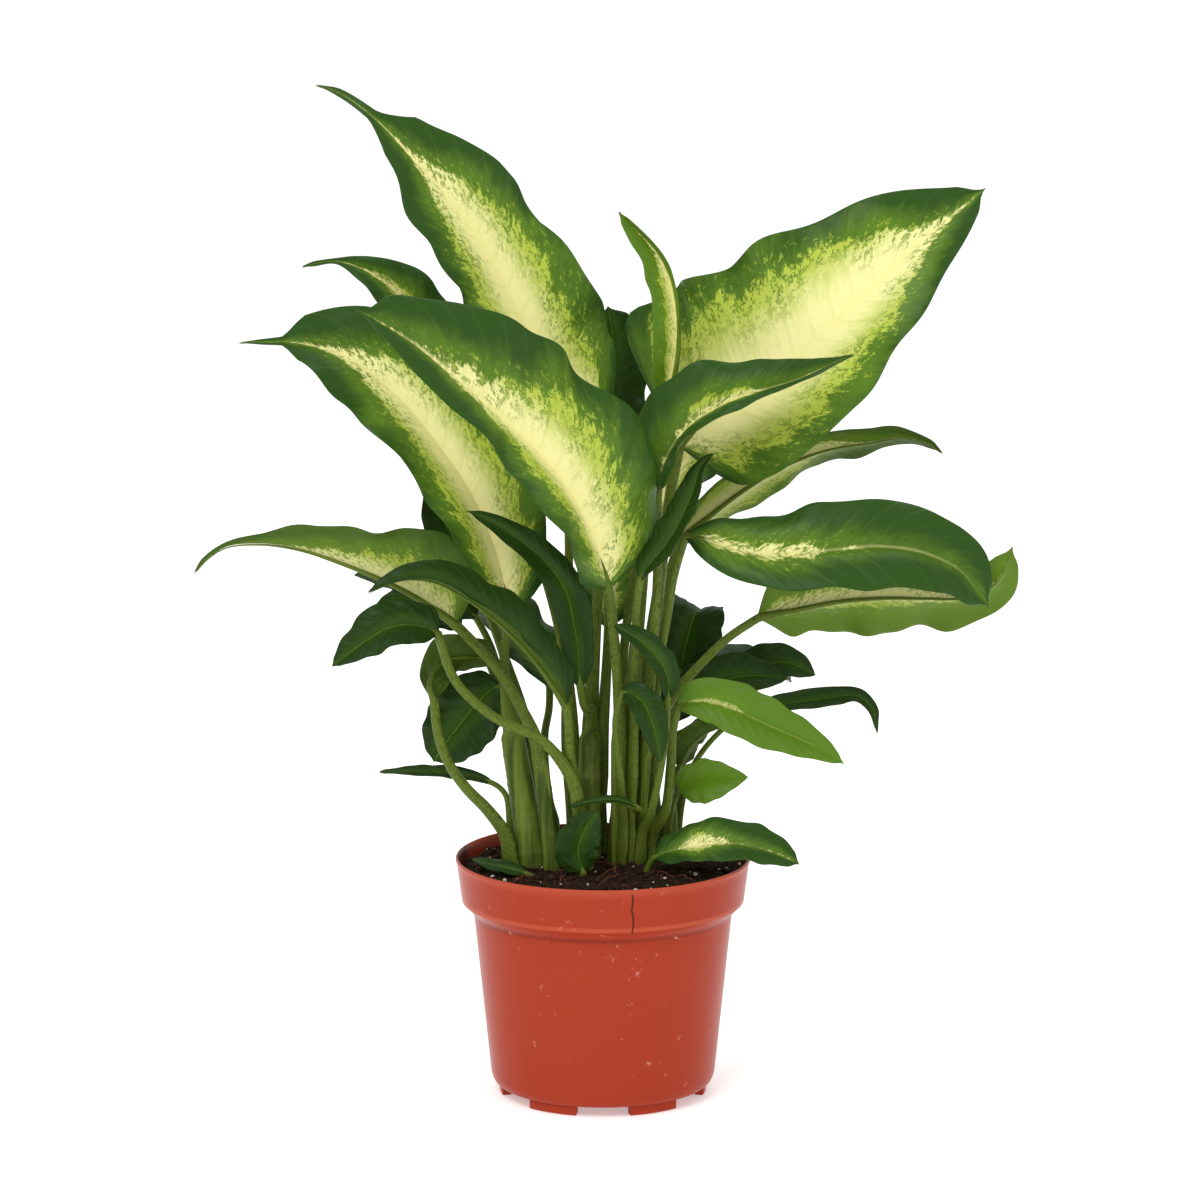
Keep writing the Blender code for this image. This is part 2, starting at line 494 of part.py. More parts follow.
# ---------------------------------------------------------------- the plant
def main():
    for obj in list(bpy.data.objects):
        bpy.data.objects.remove(obj)
    plant = collection("potted_dieffenbachia")
    cutters = collection("cutters")
    cutters.hide_render = True
    make_pot(plant, cutters, material("pot_plastic", (0.50, 0.06, 0.03), 0.38))
    make_soil(plant, material("potting_soil", (0.03, 0.018, 0.012), 0.95))
    for name in CANES:
        make_cane(name, plant, material(name + "_skin", (0.12, 0.22, 0.04), 0.45))

    tints = {"upper": (0.16, 0.32, 0.05), "middle": (0.07, 0.20, 0.03), "low": (0.04, 0.13, 0.02)}

    def leaf_maker(tint):
        def leaf(name, *shape, **more):
            make_leaf(plant, material(name + "_skin", tints[tint], 0.4), name, *shape, **more)
        return leaf

    upper_leaves(leaf_maker("upper"))
    middle_leaves(leaf_maker("middle"))
    back_leaves(leaf_maker("low"))
    low_leaves(leaf_maker("low"))


main()
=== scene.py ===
"""Potted dieffenbachia: a moulded nursery pot, potting soil, sheathed canes and variegated leaves.

Every leaf is drawn out from the cross-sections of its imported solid: they give the midrib, the two margins
and the stalk, and this script adds the thin blade, its veins, ruffled margins, raised rib and sheath.
"""
import math
import random

import bmesh
import bpy
import numpy as np
from bpy.props import FloatProperty, FloatVectorProperty, IntProperty, PointerProperty
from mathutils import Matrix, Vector, noise


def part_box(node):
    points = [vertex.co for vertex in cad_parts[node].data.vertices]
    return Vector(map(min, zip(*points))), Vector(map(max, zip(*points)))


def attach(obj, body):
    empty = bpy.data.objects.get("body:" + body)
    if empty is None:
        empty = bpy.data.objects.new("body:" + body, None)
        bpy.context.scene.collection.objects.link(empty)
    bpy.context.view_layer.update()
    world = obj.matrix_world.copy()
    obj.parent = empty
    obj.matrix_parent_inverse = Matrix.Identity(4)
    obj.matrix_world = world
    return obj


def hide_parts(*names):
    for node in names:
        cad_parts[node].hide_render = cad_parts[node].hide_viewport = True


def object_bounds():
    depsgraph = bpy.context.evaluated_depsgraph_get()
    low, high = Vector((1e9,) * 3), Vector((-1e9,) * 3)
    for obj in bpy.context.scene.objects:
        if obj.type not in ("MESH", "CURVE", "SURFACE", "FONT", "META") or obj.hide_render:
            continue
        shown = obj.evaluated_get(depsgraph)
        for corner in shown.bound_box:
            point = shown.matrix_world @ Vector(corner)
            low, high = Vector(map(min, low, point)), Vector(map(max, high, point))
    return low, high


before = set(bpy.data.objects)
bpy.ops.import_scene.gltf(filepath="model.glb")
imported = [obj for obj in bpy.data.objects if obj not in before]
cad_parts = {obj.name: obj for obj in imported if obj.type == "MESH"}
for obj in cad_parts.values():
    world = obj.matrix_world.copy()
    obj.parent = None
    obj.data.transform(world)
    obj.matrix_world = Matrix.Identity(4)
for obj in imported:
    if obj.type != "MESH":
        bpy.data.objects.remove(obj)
packed_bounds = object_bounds()

bl_info = {
    "name": "Potted dieffenbachia",
    "version": (1, 0, 0),
    "blender": (4, 5, 0),
    "location": "View3D > Sidebar > Plant",
    "description": "Builds a potted dieffenbachia round its packed solids",
    "category": "Object",
}

RING = 10                        # points round a packed leaf's cross-section
BLADE_STATIONS = (0.0, 0.06, 0.16, 0.30, 0.45, 0.60, 0.74, 0.86, 0.95, 1.0)
BLADE_RINGS = len(BLADE_STATIONS)    # the last cross-sections; those before them belong to the stalk
POT_LOW, POT_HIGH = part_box("pot")
SOIL_LOW, SOIL_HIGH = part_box("soil")
RIM_RADIUS = POT_HIGH.x
RIM_Z = POT_HIGH.z
SOIL_Z = SOIL_HIGH.z

# height of the rim band's lower edge and of the shoulder below it, and the crack in the band
BAND_Z = 0.0812
SHOULDER_Z = 0.0757
CRACK_X = 0.0118
CRACK_LOW, CRACK_HIGH = 0.0790, 0.0965
FOOT_COUNT = 6
FOOT_ARC = math.radians(30.0)

# side veins along a blade, and how far each has run towards the tip when it meets the margin, in vein gaps
VEIN_COUNT = 15.0
VEIN_SLANT = 2.2

# rows of faces along a stalk above its foot, and along a sheath between the soil and that foot
STALK_ROWS = 30
SHEATH_ROWS = 12

# second shades that the patterns blend in, as linear values
UNDERSIDE = (0.110, 0.165, 0.014)
STALK_SHADE = (0.045, 0.078, 0.007)
CANE_SHADE = (0.034, 0.062, 0.007)
# painted sheen: light yellow-green for patches where light glances off the canes
CANE_PAINTED_SHEEN = (0.20, 0.24, 0.07)
PLASTIC_SHADE = (0.31, 0.030, 0.010)
# lighter colour towards the top of the rim
PLASTIC_RIM_TOP = (0.66, 0.16, 0.09)
# painted highlight along the lower edge of the rim band
PLASTIC_EDGE_HIGHLIGHT = (0.60, 0.13, 0.06)
# painted shade in the corner under the rim band's ledge
PLASTIC_CORNER_SHADE = (0.15, 0.012, 0.004)
PLASTIC_SCUFF = (0.72, 0.36, 0.27)
SOIL_STAIN = (0.050, 0.022, 0.012)
CRACK_DARK = (0.045, 0.010, 0.006)

# camera and lamps
CAMERA_DISTANCE = 2.2
CAMERA_PITCH = math.radians(10.7)
CAMERA_LENS = 163.6
TARGET_SHARE = 0.4935            # height the camera looks at, as a share of the plant's
TARGET_X = -0.0012
WORLD_STRENGTH = 0.72
FLOOR_GLOW = 0.36
LAMPS = (                        # name, place, size, power
    ("key", (-0.8, -1.9, 2.4), 1.2, 36.0),
    ("fill", (1.9, -1.7, 1.0), 1.6, 5.0),
    ("crown", (0.3, 0.9, 2.4), 1.2, 14.0),
)


def both(*widths):
    """The same pairs of place along the blade and width factor for its left and its right half."""
    return dict(left=widths, right=widths)


# How each leaf is finished. cream is the share of the half width that is cream, start and reach are where
# along the blade it begins and ends, depth and rib are how pale it and the midrib are, patchy breaks it up,
# and bright gives young greens. ruffle and arch lift the margin and each half. left and right widen or
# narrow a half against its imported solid.
LEAF_FINISH = {
    "leaf_top_left": dict(
        cream=0.62, ruffle=0.05, arch=0.07, reach=0.84,
        left=((0.0, 1.0), (0.45, 1.05), (0.58, 1.5), (0.70, 2.3), (0.78, 2.5), (0.85, 0.8), (1.0, 1.0)),
        right=((0.0, 1.2), (0.45, 1.1), (0.58, 1.4), (0.70, 2.1), (0.78, 2.4), (0.85, 0.8), (1.0, 1.0))),
    "leaf_upper_right": dict(
        cream=0.74, ruffle=0.055, arch=0.06, reach=0.97,
        left=((0.0, 1.35), (0.2, 1.2), (0.4, 1.0), (1.0, 1.0)),
        right=((0.0, 1.2), (0.2, 1.1), (0.4, 1.0), (1.0, 1.0))),
    "leaf_front_centre": dict(
        cream=0.50, ruffle=0.05, arch=0.10, reach=0.88,
        **both((0.0, 1.0), (0.15, 1.12), (0.8, 1.14), (1.0, 1.0))),
    "leaf_left_big": dict(
        cream=0.60, ruffle=0.05, arch=0.08, reach=0.88,
        left=((0.0, 1.0), (0.5, 1.1), (0.75, 1.5), (0.86, 1.7), (0.90, 0.5), (1.0, 1.0)),
        right=((0.0, 1.0), (0.5, 1.1), (0.75, 1.4), (0.86, 1.5), (0.90, 0.5), (1.0, 1.0))),
    "leaf_young_spear": dict(cream=0.45, ruffle=0.03, arch=0.05, bright=True),
    "leaf_right_curled": dict(cream=0.20, ruffle=0.05, arch=0.10, patchy=True, rib=0.4),
    "leaf_right_back": dict(cream=0.85, ruffle=0.04, arch=0.08, reach=0.8),
    "leaf_right_level": dict(
        cream=0.44, ruffle=0.03, arch=0.12, reach=0.66, patchy=True, rib=0.3,
        left=((0.0, 1.0), (0.3, 1.2), (0.8, 1.3), (1.0, 1.0)),
        right=((0.0, 1.0), (0.3, 1.15), (0.8, 1.25), (1.0, 1.0))),
    "leaf_right_under": dict(
        cream=0.38, ruffle=0.04, arch=0.12, bright=True,
        **both((0.0, 1.0), (0.3, 1.2), (0.8, 1.3), (1.0, 1.0))),
    "leaf_left_level": dict(cream=0.40, ruffle=0.05, arch=0.08, reach=0.7),
    "leaf_right_bright": dict(
        cream=0.20, ruffle=0.03, arch=0.10, start=0.15, reach=0.6, patchy=True, bright=True, rib=0.15,
        depth=0.55),
    "leaf_right_rim": dict(
        cream=0.62, ruffle=0.03, arch=0.10, start=0.20, reach=0.70, patchy=True, rib=0.1),
    "leaf_right_small": dict(
        cream=0.0, ruffle=0.02, arch=0.10, bright=True,
        **both((0.0, 1.0), (0.5, 0.95), (0.8, 0.65), (1.0, 0.3))),
    "leaf_back_left": dict(
        cream=0.30, ruffle=0.08, arch=0.10, patchy=True,
        **both((0.0, 1.2), (0.5, 1.4), (1.0, 1.0))),
    "leaf_rear_tall": dict(cream=0.55, ruffle=0.05, arch=0.08),
    "leaf_rear_right": dict(cream=0.50, ruffle=0.05, arch=0.08),
    "leaf_rear_left": dict(cream=0.35, ruffle=0.05, arch=0.08, patchy=True),
    "leaf_rear_middle": dict(cream=0.40, ruffle=0.05, arch=0.08, patchy=True),
}
PLAIN_FINISH = dict(cream=0.0, ruffle=0.04, arch=0.10)
LEAVES = sorted(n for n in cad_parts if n.startswith("leaf_"))
CANES = sorted(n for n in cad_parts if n.startswith("stem_"))


# ---------------------------------------------------------------- settings
class PlantSizes(bpy.types.PropertyGroup):
    """Sizes of the plant's fine detail."""
    blade_thickness: FloatProperty(name="Blade thickness", description="Thickness of a leaf blade",
                                   default=0.0007, unit="LENGTH")
    vein_height: FloatProperty(name="Vein relief", description="Height of the side veins",
                               default=0.00022, unit="LENGTH")
    vein_pitch: FloatProperty(name="Vein spacing", description="Distance between side veins along the midrib",
                              default=0.0062, unit="LENGTH")
    rib_radius: FloatProperty(name="Rib size", description="Rib under a blade, as a share of its stalk",
                              default=0.62)
    blade_rows: IntProperty(name="Blade rows", description="Rows of faces along a blade", default=64)
    blade_columns: IntProperty(name="Blade columns", description="Columns of faces across a blade",
                               default=26)
    pot_steps: IntProperty(name="Pot steps", description="Faces round the pot", default=144)
    wall: FloatProperty(name="Pot wall", description="Thickness of the pot's plastic",
                        default=0.0012, unit="LENGTH")
    mound: FloatProperty(name="Soil mound", description="How far the soil rises in the middle",
                         default=0.0030, unit="LENGTH")
    grains: IntProperty(name="White grains", description="Perlite grains on the soil", default=110)
    crumbs: IntProperty(name="Crumbs", description="Lumps of soil", default=900)
    fibres: IntProperty(name="Fibres", description="Loose fibres in the soil", default=46)


class PlantColours(bpy.types.PropertyGroup):
    """Colours of the plant, as linear values."""
    cream: FloatVectorProperty(name="Cream", description="Middle of a variegated blade",
                               subtype="COLOR", default=(0.84, 0.80, 0.36))
    lime: FloatVectorProperty(name="Lime", description="Where cream turns to green",
                              subtype="COLOR", default=(0.41, 0.50, 0.060))
    green: FloatVectorProperty(name="Green", description="Leaf green",
                               subtype="COLOR", default=(0.090, 0.180, 0.014))
    deep: FloatVectorProperty(name="Deep green", description="Margins and old leaves",
                              subtype="COLOR", default=(0.024, 0.070, 0.008))
    old: FloatVectorProperty(name="Old leaf", description="Leaves with no cream",
                             subtype="COLOR", default=(0.034, 0.085, 0.007))
    shade: FloatVectorProperty(name="Old leaf margin", description="Margins of leaves with no cream",
                               subtype="COLOR", default=(0.014, 0.040, 0.004))
    fresh: FloatVectorProperty(name="Fresh leaf", description="Young leaves low on the plant",
                               subtype="COLOR", default=(0.098, 0.205, 0.010))
    stalk: FloatVectorProperty(name="Stalk green", description="Stalks and sheaths",
                               subtype="COLOR", default=(0.135, 0.185, 0.022))
    plastic: FloatVectorProperty(name="Pot", description="Terracotta-coloured plastic",
                                 subtype="COLOR", default=(0.360, 0.039, 0.014))
    soil: FloatVectorProperty(name="Soil", description="Damp potting soil",
                              subtype="COLOR", default=(0.020, 0.011, 0.007))
    floor: FloatVectorProperty(name="Floor", description="Studio floor",
                               subtype="COLOR", default=(0.93, 0.93, 0.93))


# ---------------------------------------------------------------- shader helpers
class Value:
    """A socket that can be added, multiplied and compared like a number."""

    def __init__(self, shop, socket):
        self.shop, self.socket = shop, socket

    def _math(self, operation, *others):
        return self.shop.node("ShaderNodeMath", {"operation": operation}, *others)

    def __add__(self, other):
        return self._math("ADD", self, other)

    def __sub__(self, other):
        return self._math("SUBTRACT", self, other)

    def __mul__(self, other):
        return self._math("MULTIPLY", self, other)

    def __rsub__(self, other):
        return self._math("SUBTRACT", other, self)

    __radd__, __rmul__ = __add__, __mul__

    def power(self, other):
        return self._math("POWER", self, other)

    def size(self):
        return self._math("ABSOLUTE", self)

    def swing(self, reach):
        return self._math("PINGPONG", self, reach)

    def step(self, low, high):
        """0 below low, 1 above high, smooth between."""
        return self.shop.node("ShaderNodeMapRange", {"interpolation_type": "SMOOTHSTEP"},
                              self, low, high, 0.0, 1.0)


class Shop:
    """Makes the nodes of one material."""

    def __init__(self, name):
        self.material = bpy.data.materials.new(name)
        self.material.use_nodes = True
        self.tree = self.material.node_tree
        self.shader = self.tree.nodes["Principled BSDF"]

    def put(self, socket, value):
        if isinstance(value, Value):
            self.tree.links.new(value.socket, socket)
        elif socket.type == "RGBA" and len(value) == 3:
            socket.default_value = (*value, 1.0)
        else:
            socket.default_value = value

    def node(self, kind, settings, *inputs, out=0, **named):
        made = self.tree.nodes.new(kind)
        for key, value in settings.items():
            setattr(made, key, value)
        for socket, value in zip(made.inputs, inputs):
            self.put(socket, value)
        for key, value in named.items():
            self.put(made.inputs[key], value)
        return Value(self, made.outputs[out])

    def blend(self, factor, first, second):
        """Two colours mixed: MixColor's sockets share names, so they are reached by place."""
        made = self.tree.nodes.new("ShaderNodeMix")
        made.data_type = "RGBA"
        for index, value in ((0, factor), (6, first), (7, second)):
            self.put(made.inputs[index], value)
        return Value(self, made.outputs[2])

    def noise(self, where, scale, detail=3.0, rough=0.55):
        return self.node("ShaderNodeTexNoise", {}, out=0, Vector=where, Scale=scale, Detail=detail,
                         Roughness=rough)

    def place(self):
        return self.node("ShaderNodeTexCoord", {}, out=3)

    def join(self, x, y, z):
        return self.node("ShaderNodeCombineXYZ", {}, x, y, z)

    def parts(self, vector):
        made = self.tree.nodes.new("ShaderNodeSeparateXYZ")
        self.put(made.inputs[0], vector)
        return [Value(self, made.outputs[i]) for i in range(3)]

    def bump(self, height, strength, distance):
        self.put(self.shader.inputs["Normal"],
                 self.node("ShaderNodeBump", {}, Strength=strength, Distance=distance, Height=height))

    def finish(self, colour, roughness, **constants):
        self.put(self.shader.inputs["Base Color"], colour)
        self.put(self.shader.inputs["Roughness"], roughness)
        for name, value in constants.items():
            self.shader.inputs[name.replace("_", " ")].default_value = value
        return self.material


def leaf_material(name, finish, seed, colours):
    """Cream middle feathering out along the side veins into green, with a pale rib and an underside muted
    towards one yellow-green.
    """
    cream, reach = finish["cream"], finish.get("reach", 0.9)
    vivid = min(1.0, cream * 2.5)
    shop = Shop(name)
    lay = shop.node("ShaderNodeAttribute", {"attribute_name": "lay"}, out=1)
    across, along, side = shop.parts(lay)
    stalk = across.step(2.5, 3.0)
    away = across.size()
    vein = along * VEIN_COUNT - away * VEIN_SLANT
    feather = shop.noise(shop.join(vein * 0.85, away * 1.1, seed), 1.0, 3.0, 0.6)
    fine = shop.noise(shop.join(vein * 4.2, away * 5.0, seed + 3.0), 1.0, 4.0, 0.7)
    speck = shop.noise(shop.join(vein * 4.6, across * 15.0, seed + 9.0), 1.0, 3.0, 0.7)
    blotch = shop.noise(shop.place(), 34.0, 3.0)
    start = finish.get("start", 0.03)
    ends = (1.0 - along.step(reach - 0.42, reach)) * along.step(start - 0.13, start + 0.13)
    edge = ends * cream + (feather - 0.5) * (0.85 * vivid) * (ends * 0.8 + 0.1)
    edge = edge + (fine - 0.5) * (0.42 * vivid)
    if finish.get("patchy"):
        edge = edge - (1.0 - blotch.step(0.38, 0.58)) * 0.22
    pale = (edge - away).step(-0.03, 0.035)
    near = (away - edge).step(-0.50, -0.04)
    pale = pale * (1.0 - near * speck.step(0.51, 0.55) * 0.95)
    pale = pale * finish.get("depth", 1.0)
    islands = speck.step(0.58, 0.63) * (1.0 - (away - edge).step(0.0, 0.34)) * vivid
    inner = shop.blend((away * (1.15 / max(cream, 0.1)) + (fine - 0.5) * 0.7).step(0.15, 1.0),
                       colours.cream, colours.lime)
    light, dark = (colours.green, colours.deep) if vivid else (colours.old, colours.shade)
    if finish.get("bright"):
        light, dark = colours.fresh, colours.green
    outer = shop.blend((away - edge + (blotch - 0.5) * 0.9).step(0.0, 0.55), light, dark)
    outer = shop.blend(islands * 0.7, outer, colours.lime)
    line = vein.swing(0.5).step(0.38, 0.5)
    outer = shop.blend(line * 0.10, outer, colours.green)
    inner = shop.blend(line * 0.14, inner, colours.lime)
    top = shop.blend(pale, outer, inner)
    rib = (1.0 - away.step(0.012, 0.050 if vivid else 0.035)) * finish.get("rib", 0.75)
    top = shop.blend(rib * (1.0 - along.step(0.7, 1.0)), top, colours.cream if vivid else colours.green)
    under = shop.blend(0.34, top, UNDERSIDE)
    blade = shop.blend((side * -1.0).step(0.0, 0.6), top, under)
    streak = shop.noise(shop.join(along * 3.0, across * 3.0, seed), 6.0, 3.0)
    green_stalk = shop.blend(streak.step(0.3, 0.75), colours.stalk, STALK_SHADE)
    colour = shop.blend(stalk, blade, green_stalk)
    shop.bump(line * -0.5 + blotch * 0.4, 0.35, 0.0004)
    return shop.finish(colour, blotch * 0.16 + 0.30, Specular_IOR_Level=0.12)


def cane_material(colours):
    shop = Shop("cane_skin")
    x, y, z = shop.parts(shop.place())
    streak = shop.noise(shop.join(x * 260.0, y * 260.0, z * 22.0), 1.0, 3.0)
    patch = shop.noise(shop.place(), 60.0, 2.0)
    colour = shop.blend(streak.step(0.35, 0.7), colours.stalk, CANE_SHADE)
    # painted sheen: the patches lighten the cane's colour where light would glance off it
    colour = shop.blend(patch.step(0.55, 0.75) * 0.5, colour, CANE_PAINTED_SHEEN)
    shop.bump(streak, 0.25, 0.0004)
    return shop.finish(colour, patch * 0.2 + 0.34, Specular_IOR_Level=0.12)


def plastic_material(colours):
    """Satin plastic with a faint mould line, scuffs, soil stains inside the rim, a hairline crack, a lighter
    rim top, a painted highlight along the band's lower edge and painted shade in the corner under its ledge.
    """
    shop = Shop("pot_plastic")
    place = shop.place()
    x, y, z = shop.parts(place)
    cloud = shop.noise(place, 26.0, 3.0)
    grain = shop.noise(place, 900.0, 2.0)
    scratch = shop.noise(shop.join(x * 30.0, y * 30.0, z * 400.0), 1.0, 3.0, 0.7)
    scuff = shop.noise(place, 150.0, 4.0, 0.75).step(0.635, 0.70) * cloud.step(0.40, 0.56)
    wander = (shop.noise(shop.join(0.0, 0.0, z * 160.0), 1.0, 2.0) - 0.5) * 0.0028
    front = 1.0 - y.step(-0.03, -0.02)
    crack = (1.0 - (x - CRACK_X - wander).size().step(0.00018, 0.0005)) * front
    crack = crack * z.step(CRACK_LOW, CRACK_LOW + 0.001) * (1.0 - z.step(CRACK_HIGH - 0.001, CRACK_HIGH))
    seam = (1.0 - (z - 0.0145).size().step(0.0, 0.0006)) * 0.35
    colour = shop.blend(cloud.step(0.3, 0.8) * 0.22, colours.plastic, PLASTIC_SHADE)
    # lighter towards the top of the rim
    colour = shop.blend(z.step(0.093, 0.0985) * 0.25, colour, PLASTIC_RIM_TOP)
    # painted highlight: a thin light line along the rim band's lower edge
    lip_highlight = z.step(BAND_Z - 0.0016, BAND_Z - 0.0010) * (1.0 - z.step(BAND_Z, BAND_Z + 0.0010))
    colour = shop.blend(lip_highlight * 0.35, colour, PLASTIC_EDGE_HIGHLIGHT)
    # painted shade: a dark line in the corner where the ledge under the rim band meets the wall
    corner = z.step(SHOULDER_Z - 0.0019, SHOULDER_Z - 0.0005)
    corner = corner * (1.0 - z.step(SHOULDER_Z - 0.0001, SHOULDER_Z + 0.0017))
    colour = shop.blend(corner * 0.50, colour, PLASTIC_CORNER_SHADE)
    flare = 0.04 * RIM_RADIUS / (RIM_Z - BAND_Z)
    depth = (z - BAND_Z) * flare + 0.96 * RIM_RADIUS - (x * x + y * y).power(0.5)
    dirt = depth.step(0.0006, 0.0009) * z.step(0.0825, 0.0840) * cloud.step(0.36, 0.54)
    colour = shop.blend(dirt * 0.85, colour, SOIL_STAIN)
    colour = shop.blend(scuff * 0.5, colour, PLASTIC_SCUFF)
    colour = shop.blend(crack * 0.9, colour, CRACK_DARK)
    shop.bump(grain * 0.35 + scratch * 0.3 - crack * 2.0 + seam, 0.25, 0.0004)
    return shop.finish(colour, cloud * 0.10 + scuff * 0.3 + 0.25, Specular_IOR_Level=0.10)


def soil_material(name, colour, light, seed):
    shop = Shop(name)
    place = shop.place()
    lump = shop.noise(place, 240.0 + seed, 5.0, 0.7)
    fleck = shop.noise(place, 900.0, 3.0, 0.7)
    mixed = shop.blend(lump.step(0.4, 0.75), colour, light)
    shop.bump(lump + fleck * 0.4, 0.8, 0.0012)
    return shop.finish(mixed, 0.92, Specular_IOR_Level=0.05)


# ---------------------------------------------------------------- mesh helpers
def fresh():
    if bpy.context.mode != "OBJECT":
        bpy.ops.object.mode_set(mode="OBJECT")
    bpy.ops.object.select_all(action="DESELECT")


def adopt(obj, name, material, slot, *nodes):
    """Names a finished piece, gives it its material, and lets it ride with the plant."""
    obj.name = obj.data.name = name
    obj.data.materials.clear()
    obj.data.materials.append(material)
    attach(obj, "root")
    if nodes:
        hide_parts(*nodes)
    return obj


def soften(obj, degrees):
    fresh()
    obj.select_set(True)
    bpy.context.view_layer.objects.active = obj
    bpy.ops.object.shade_smooth_by_angle(angle=math.radians(degrees))


def mesh_object(name, points, faces):
    mesh = bpy.data.meshes.new(name)
    mesh.from_pydata([tuple(p) for p in points], [], faces)
    mesh.validate()
    obj = bpy.data.objects.new(name, mesh)
    bpy.context.scene.collection.objects.link(obj)
    return obj


def turned(name, profile, steps):
    """A disc, extruded and resized ring by ring along a (radius, z) profile that starts and ends flat."""
    fresh()
    radius, z = profile[0]
    bpy.ops.mesh.primitive_circle_add(vertices=steps, radius=radius, fill_type="NGON", location=(0, 0, z))
    obj = bpy.context.object
    bpy.ops.object.transform_apply(location=True, rotation=True, scale=True)
    bpy.ops.object.mode_set(mode="EDIT")
    bpy.ops.mesh.select_all(action="SELECT")
    bpy.ops.mesh.delete(type="ONLY_FACE")
    bpy.ops.mesh.select_all(action="SELECT")
    bpy.ops.mesh.edge_face_add()
    for new_radius, new_z in profile[1:]:
        bpy.ops.mesh.extrude_region_move(TRANSFORM_OT_translate={"value": (0, 0, new_z - z)})
        share = new_radius / radius
        bpy.ops.transform.resize(value=(share, share, 1.0), center_override=(0.0, 0.0, new_z))
        radius, z = new_radius, new_z
    bpy.ops.mesh.select_all(action="SELECT")
    bpy.ops.mesh.normals_make_consistent(inside=False)
    bpy.ops.object.mode_set(mode="OBJECT")
    obj.name = name
    return obj


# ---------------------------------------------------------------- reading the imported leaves
def cap_patches(bm):
    """The two flat ends of a packed leaf, the stalk's end first."""
    seen, found = set(), []
    for face in bm.faces:
        if face in seen:
            continue
        patch = [face]
        seen.add(face)
        for near in patch:
            for edge in near.edges:
                for other in edge.link_faces:
                    if other not in seen and near.normal.dot(other.normal) > 0.999:
                        seen.add(other)
                        patch.append(other)
        points = {v for f in patch for v in f.verts}
        if len(patch) == RING - 2 and len(points) == RING:
            edges = [e for f in patch for e in f.edges if sum(g in patch for g in e.link_faces) == 1]
            rim = sum(e.calc_length() for e in edges)
            found.append((rim, sum(f.calc_area() for f in patch), set(patch), points))
    found.sort(key=lambda item: item[0])
    return [item[2:] for item in sorted(found[:2], key=lambda item: -item[1])]


def loop_of(points, inside):
    """One ring's points in order round it."""
    def beside(v):
        return [e.other_vert(v) for e in v.link_edges
                if e.other_vert(v) in points and not all(f in inside for f in e.link_faces)]
    order = [next(iter(sorted(points, key=lambda v: v.index)))]
    while len(order) < len(points):
        nearby = [v for v in beside(order[-1]) if v not in order]
        if not nearby:
            raise RuntimeError("a leaf's cross-section isn't a single ring")
        order.append(min(nearby, key=lambda v: v.index))
    return order


def matched(first, second):
    """The second ring, started and turned so that it follows the first."""
    joined = {frozenset((e.verts[0].index, e.verts[1].index)) for v in first for e in v.link_edges}
    best = None
    for ring in (second, second[::-1]):
        for k in range(RING):
            turned_ring = ring[k:] + ring[:k]
            hits = sum(frozenset((a.index, b.index)) in joined for a, b in zip(first, turned_ring))
            span = sum((a.co - b.co).length for a, b in zip(first, turned_ring))
            if best is None or (-hits, span) < best[0]:
                best = ((-hits, span), turned_ring)
    return best[1]


def cross_sections(node):
    """A packed leaf as an array [ring, upper or lower, left to right] of points, from its foot to its tip."""
    bm = bmesh.new()
    bm.from_mesh(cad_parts[node].data)
    bmesh.ops.remove_doubles(bm, verts=bm.verts, dist=0.00002)
    bm.verts.index_update()
    bm.normal_update()
    caps = cap_patches(bm)
    inside = caps[0][0] | caps[1][0]
    seen, level, levels = set(caps[0][1]), set(caps[0][1]), []
    while level:
        levels.append(level)
        level = {e.other_vert(v) for v in level for e in v.link_edges} - seen
        seen |= level
    rings = [loop_of(levels[0], inside)]
    for level in levels[1:]:
        rings.append(matched(rings[-1], loop_of(level, inside)))
    data = np.array([[v.co[:] for v in ring] for ring in rings])
    bm.free()
    spans = np.linalg.norm(data.max(1) - data.min(1), axis=1)
    # the widest ring shows where a ring passes over the margin, from its upper half to its lower
    wide = data[len(data) - BLADE_RINGS + int(np.argmax(spans[-BLADE_RINGS:]))]
    gaps = np.linalg.norm(np.roll(wide, -1, axis=0) - wide, axis=1)
    start = int(np.argmin(gaps[:5] + gaps[5:])) + 1
    data = np.roll(data, -start, axis=1)
    wide = np.roll(wide, -start, axis=0)
    one, two = data[:, :5], data[:, 5:][:, ::-1]
    # both halves are folded up from the midrib, which tells the upper side from the lower
    lift = (wide[0] + wide[4] + wide[9] + wide[5]) / 4 - (wide[2] + wide[7]) / 2
    if np.dot(lift, wide[2] - wide[7]) < 0:
        one, two = two, one
    ahead = data[-1].mean(0) - data[-BLADE_RINGS].mean(0)
    up = (one[-3, 2] - two[-3, 2])
    if np.dot(one[-5, 4] - one[-5, 0], np.cross(ahead, up)) < 0:
        one, two = one[:, ::-1], two[:, ::-1]
    return np.stack([one, two], 1)


def smooth_through(knots, values, wanted):
    """Cubic interpolation through values at uneven knots."""
    knots, wanted = np.asarray(knots, float), np.asarray(wanted, float)
    slopes = np.gradient(values, knots, axis=0)
    k = np.clip(np.searchsorted(knots, wanted) - 1, 0, len(knots) - 2)
    width = knots[k + 1] - knots[k]
    t = ((wanted - knots[k]) / width)
    shape = (-1,) + (1,) * (values.ndim - 1)
    t, width = t.reshape(shape), width.reshape(shape)
    return ((2 * t ** 3 - 3 * t ** 2 + 1) * values[k] + (t ** 3 - 2 * t ** 2 + t) * width * slopes[k]
            + (-2 * t ** 3 + 3 * t ** 2) * values[k + 1] + (t ** 3 - t ** 2) * width * slopes[k + 1])


def unit(vectors):
    return vectors / np.maximum(np.linalg.norm(vectors, axis=-1, keepdims=True), 1e-12)


